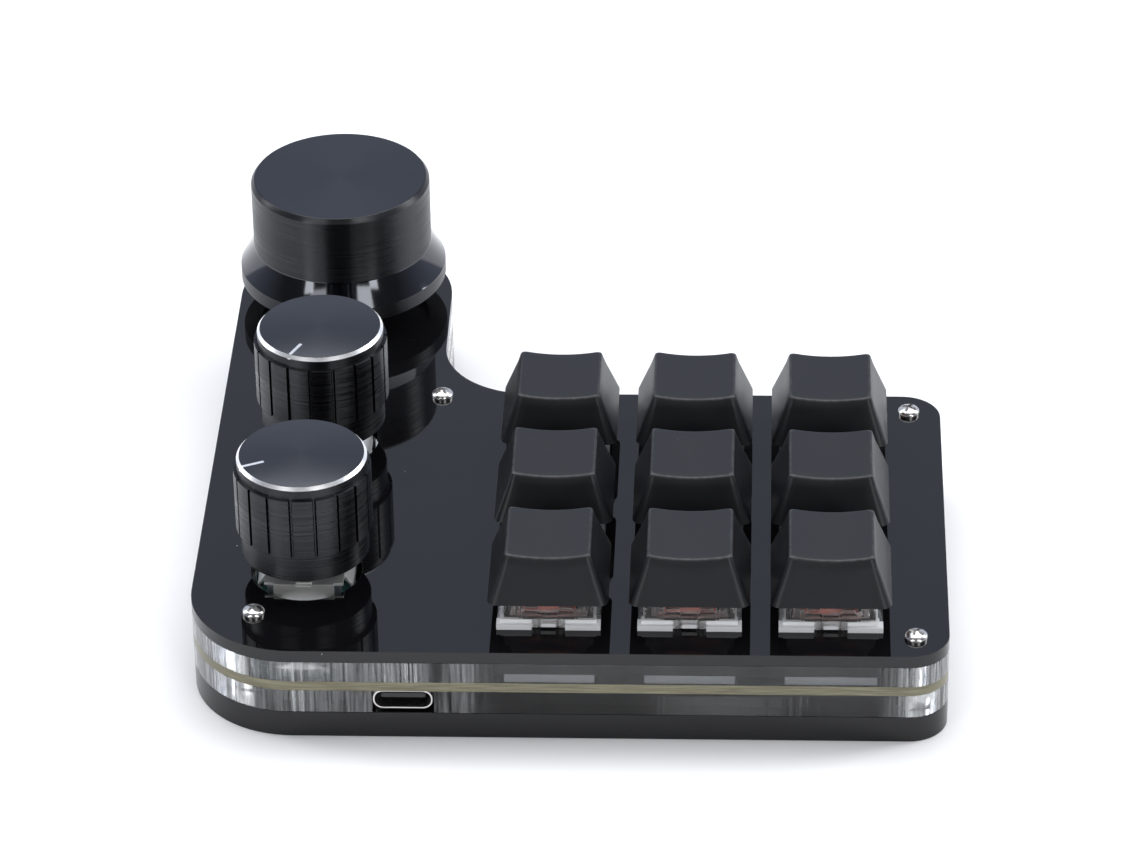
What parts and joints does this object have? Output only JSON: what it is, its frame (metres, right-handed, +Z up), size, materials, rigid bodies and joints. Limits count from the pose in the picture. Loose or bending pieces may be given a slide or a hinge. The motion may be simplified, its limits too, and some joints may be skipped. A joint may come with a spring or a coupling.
{
  "type": "macro keypad with knobs",
  "caption": "Desk keypad built of stacked acrylic sheets, with sprung mechanical keys beside a column of rotary dials that turn and press, and a USB-C inlet at the front.",
  "frame": {"origin": "on the underside, below the middle of the outline's bounding box", "axes": "+X to the right along the front edge, +Y from the front edge to the back, +Z up out of the keys"},
  "size_m": [0.1144, 0.1202, 0.0381],
  "materials": {
    "black_sheet": "polished black acrylic",
    "clear_sheet": "clear acrylic with a polished laser-cut edge",
    "board": "glass-fibre board with a dark coating",
    "steel": "nickel plated",
    "brass": "plain",
    "gold_pins": "plated",
    "chip": "moulded",
    "tongue": "moulded",
    "switch_white": "moulded",
    "switch_clear": "clear moulded",
    "switch_red": "moulded",
    "spring": "wire",
    "keycap": "fine satin",
    "encoder_base": "moulded",
    "encoder_cast": "die-cast",
    "encoder_cover": "plated sheet",
    "rotor": "moulded",
    "shaft": "turned",
    "knob": "black anodised, turned",
    "grub": "blackened"
  },
  "bodies": {
    "case": {"top_plate": "black_sheet", "upper_spacer": "clear_sheet", "circuit_board": "board", "lower_spacer": "clear_sheet", "bottom_plate": "black_sheet", "top_screws": "steel", "bottom_screws": "steel", "brass_standoffs": "brass", "usb_port_shell": "steel", "usb_port_tongue": "tongue", "controller_parts": "chip", "switch_lower_housings": "switch_white", "switch_upper_housings": "switch_clear", "switch_contacts": "gold_pins", "encoder_bases": "encoder_base", "encoder_covers": "encoder_cover", "encoder_bushings": "encoder_cast", "encoder_pins": "gold_pins", "spring_front_left": "spring", "spring_front_centre": "spring", "spring_front_right": "spring", "spring_middle_left": "spring", "spring_middle_centre": "spring", "spring_middle_right": "spring", "spring_back_left": "spring", "spring_back_centre": "spring", "spring_back_right": "spring"},
    "key_front_left": {"keycap_front_left": "keycap", "stem_front_left": "switch_red"},
    "key_front_centre": {"keycap_front_centre": "keycap", "stem_front_centre": "switch_red"},
    "key_front_right": {"keycap_front_right": "keycap", "stem_front_right": "switch_red"},
    "key_middle_left": {"keycap_middle_left": "keycap", "stem_middle_left": "switch_red"},
    "key_middle_centre": {"keycap_middle_centre": "keycap", "stem_middle_centre": "switch_red"},
    "key_middle_right": {"keycap_middle_right": "keycap", "stem_middle_right": "switch_red"},
    "key_back_left": {"keycap_back_left": "keycap", "stem_back_left": "switch_red"},
    "key_back_centre": {"keycap_back_centre": "keycap", "stem_back_centre": "switch_red"},
    "key_back_right": {"keycap_back_right": "keycap", "stem_back_right": "switch_red"},
    "rotor_front": {"encoder_rotor_front": "rotor"},
    "dial_front": {"encoder_shaft_front": "shaft", "knob_front": "knob", "grub_screw_front": "grub"},
    "rotor_middle": {"encoder_rotor_middle": "rotor"},
    "dial_middle": {"encoder_shaft_middle": "shaft", "knob_middle": "knob", "grub_screw_middle": "grub"},
    "rotor_large": {"encoder_rotor_large": "rotor"},
    "dial_large": {"encoder_shaft_large": "shaft", "knob_large": "knob", "grub_screw_large": "grub"}
  },
  "joints": [
    {"name": "press_front_left", "type": "slide", "parent": "case", "child": "key_front_left", "axis": [0, 0, -1], "range_m": [0, 0.004], "stiffness_N_per_m": 100, "springref_m": -0.003, "deforming": ["spring_front_left"]},
    {"name": "press_front_centre", "type": "slide", "parent": "case", "child": "key_front_centre", "axis": [0, 0, -1], "range_m": [0, 0.004], "stiffness_N_per_m": 100, "springref_m": -0.003, "deforming": ["spring_front_centre"]},
    {"name": "press_front_right", "type": "slide", "parent": "case", "child": "key_front_right", "axis": [0, 0, -1], "range_m": [0, 0.004], "stiffness_N_per_m": 100, "springref_m": -0.003, "deforming": ["spring_front_right"]},
    {"name": "press_middle_left", "type": "slide", "parent": "case", "child": "key_middle_left", "axis": [0, 0, -1], "range_m": [0, 0.004], "stiffness_N_per_m": 100, "springref_m": -0.003, "deforming": ["spring_middle_left"]},
    {"name": "press_middle_centre", "type": "slide", "parent": "case", "child": "key_middle_centre", "axis": [0, 0, -1], "range_m": [0, 0.004], "stiffness_N_per_m": 100, "springref_m": -0.003, "deforming": ["spring_middle_centre"]},
    {"name": "press_middle_right", "type": "slide", "parent": "case", "child": "key_middle_right", "axis": [0, 0, -1], "range_m": [0, 0.004], "stiffness_N_per_m": 100, "springref_m": -0.003, "deforming": ["spring_middle_right"]},
    {"name": "press_back_left", "type": "slide", "parent": "case", "child": "key_back_left", "axis": [0, 0, -1], "range_m": [0, 0.004], "stiffness_N_per_m": 100, "springref_m": -0.003, "deforming": ["spring_back_left"]},
    {"name": "press_back_centre", "type": "slide", "parent": "case", "child": "key_back_centre", "axis": [0, 0, -1], "range_m": [0, 0.004], "stiffness_N_per_m": 100, "springref_m": -0.003, "deforming": ["spring_back_centre"]},
    {"name": "press_back_right", "type": "slide", "parent": "case", "child": "key_back_right", "axis": [0, 0, -1], "range_m": [0, 0.004], "stiffness_N_per_m": 100, "springref_m": -0.003, "deforming": ["spring_back_right"]},
    {"name": "turn_front", "type": "hinge", "parent": "case", "child": "rotor_front", "pos_m": [-0.0401, -0.0382, 0.0125], "axis": [0, 0, 1], "continuous": true},
    {"name": "push_front", "type": "slide", "parent": "rotor_front", "child": "dial_front", "axis": [0, 0, -1], "range_m": [0, 0.0005], "stiffness_N_per_m": 2000, "springref_m": -0.001},
    {"name": "turn_middle", "type": "hinge", "parent": "case", "child": "rotor_middle", "pos_m": [-0.0401, -0.0016, 0.0125], "axis": [0, 0, 1], "continuous": true},
    {"name": "push_middle", "type": "slide", "parent": "rotor_middle", "child": "dial_middle", "axis": [0, 0, -1], "range_m": [0, 0.0005], "stiffness_N_per_m": 2000, "springref_m": -0.001},
    {"name": "turn_large", "type": "hinge", "parent": "case", "child": "rotor_large", "pos_m": [-0.0401, 0.0427, 0.0125], "axis": [0, 0, 1], "continuous": true},
    {"name": "push_large", "type": "slide", "parent": "rotor_large", "child": "dial_large", "axis": [0, 0, -1], "range_m": [0, 0.0005], "stiffness_N_per_m": 2000, "springref_m": -0.001}
  ]
}
